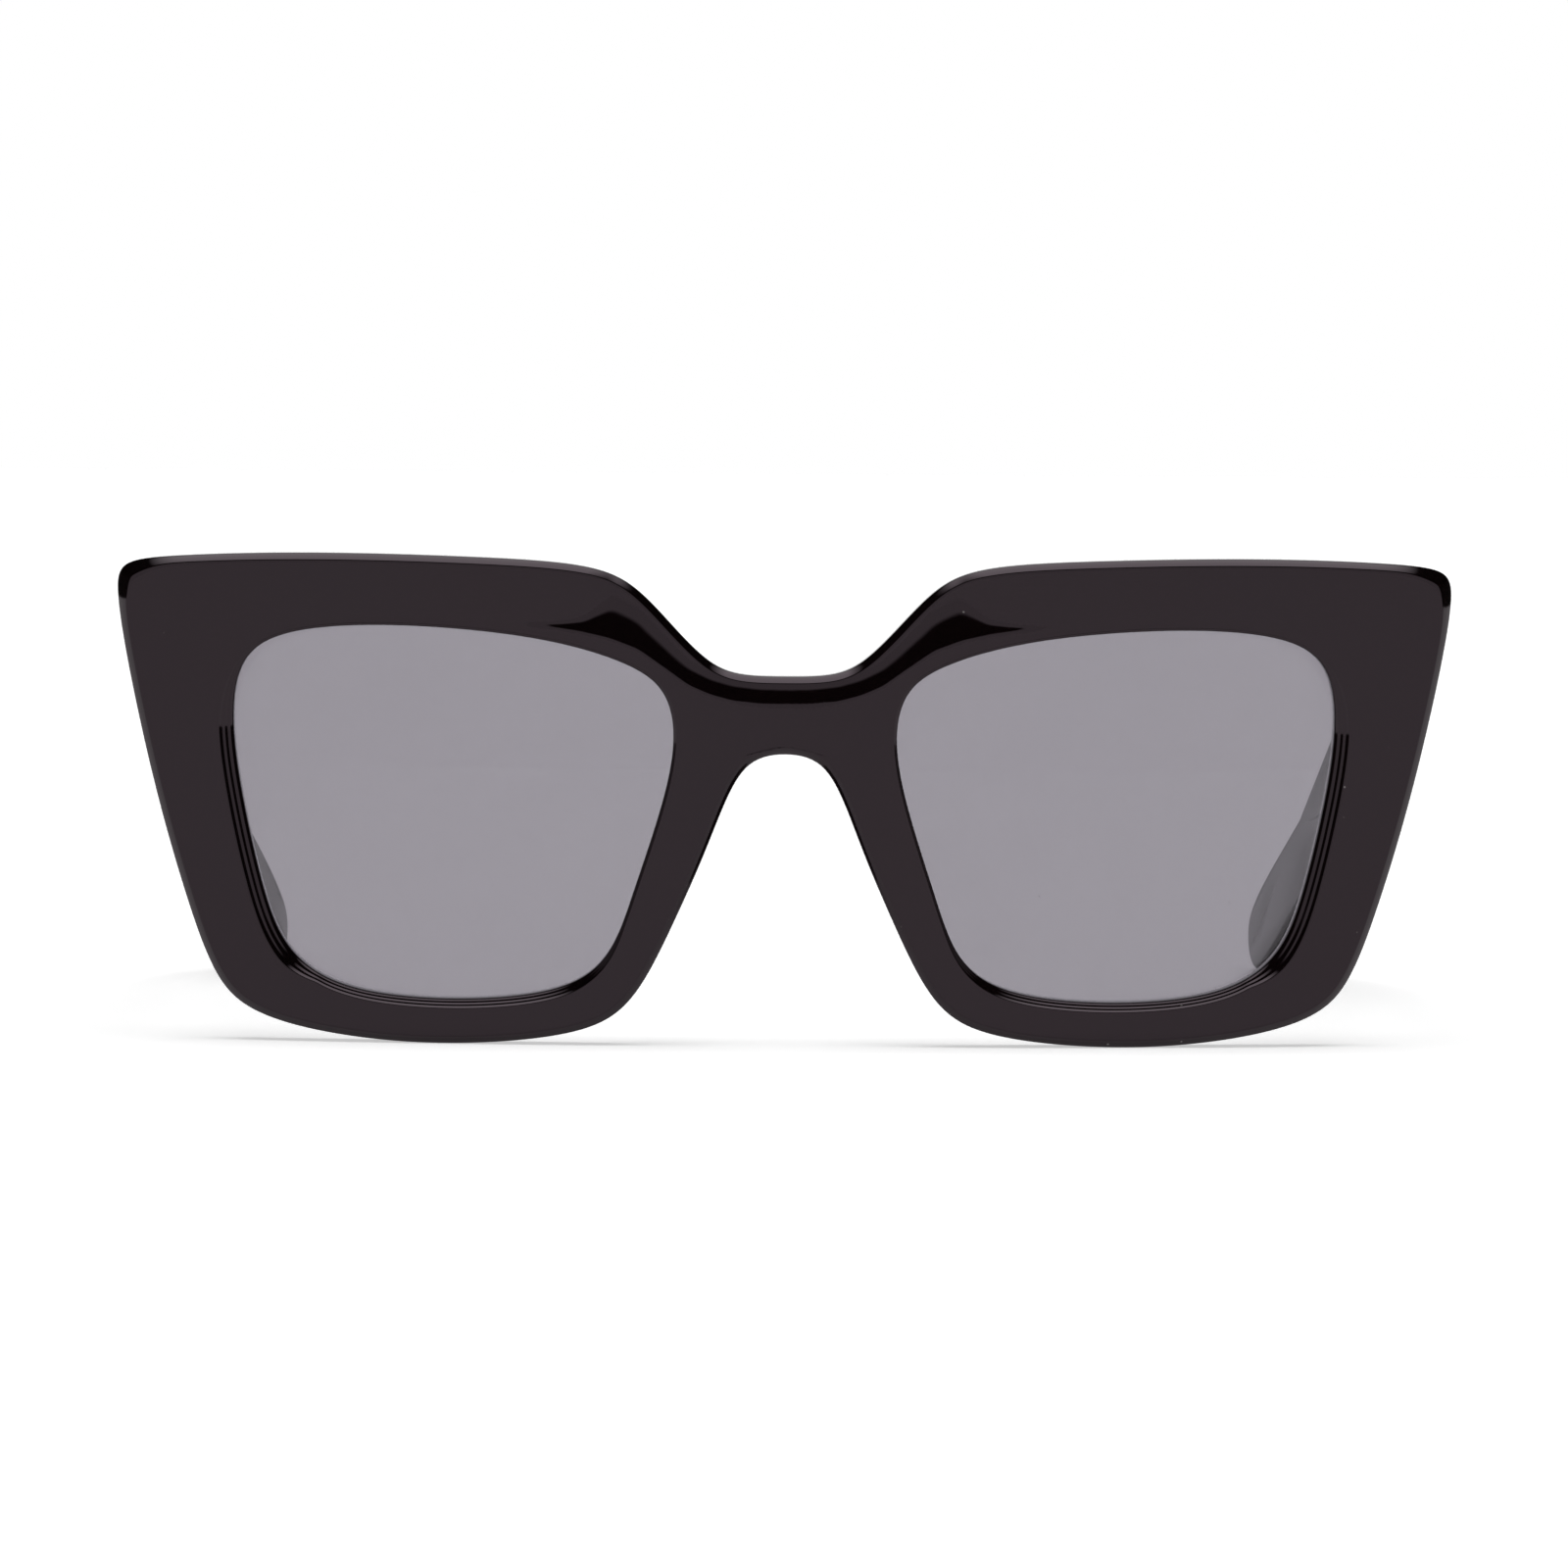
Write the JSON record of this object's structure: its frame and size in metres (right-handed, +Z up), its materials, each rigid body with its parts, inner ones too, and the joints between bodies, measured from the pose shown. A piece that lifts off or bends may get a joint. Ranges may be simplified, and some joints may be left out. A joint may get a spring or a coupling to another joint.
{
  "type": "cat eye sunglasses",
  "caption": "Cat eye sunglasses with a glossy dark acetate front, tinted curved lenses, fixed nose pads and hinged temples that fold flat behind the front.",
  "frame": {"origin": "middle of the width and depth, on the surface that the rims and temple tips stand on", "axes": "+X to the viewer's right (the wearer's left), -Y out of the front, +Z up"},
  "size_m": [0.146, 0.1454, 0.0533],
  "materials": {
    "frame_acetate": "polished near-black cellulose acetate with a faint warm cast",
    "lens": "even neutral grey tint, polished both sides",
    "hinge_metal": "satin nickel-silver",
    "screw_metal": "polished steel"
  },
  "bodies": {
    "front": {"front_frame": "frame_acetate", "left_lens": "lens", "left_nose_pad": "frame_acetate", "left_front_hinge_leaf": "hinge_metal", "left_hinge_screw": "screw_metal", "left_front_leaf_lower_screw": "screw_metal", "left_front_leaf_upper_screw": "screw_metal", "right_lens": "lens", "right_nose_pad": "frame_acetate", "right_front_hinge_leaf": "hinge_metal", "right_hinge_screw": "screw_metal", "right_front_leaf_lower_screw": "screw_metal", "right_front_leaf_upper_screw": "screw_metal"},
    "left_temple": {"left_temple": "frame_acetate", "left_temple_hinge_leaf": "hinge_metal", "left_temple_leaf_lower_screw": "screw_metal", "left_temple_leaf_upper_screw": "screw_metal"},
    "right_temple": {"right_temple": "frame_acetate", "right_temple_hinge_leaf": "hinge_metal", "right_temple_leaf_lower_screw": "screw_metal", "right_temple_leaf_upper_screw": "screw_metal"}
  },
  "joints": [
    {"name": "left_temple_hinge", "type": "hinge", "parent": "front", "child": "left_temple", "pos_m": [0.06355, -0.0562, 0.0395], "axis": [0, 0, 1], "range_deg": [0, 90]},
    {"name": "right_temple_hinge", "type": "hinge", "parent": "front", "child": "right_temple", "pos_m": [-0.06355, -0.0562, 0.0395], "axis": [0, 0, -1], "range_deg": [0, 81]}
  ]
}
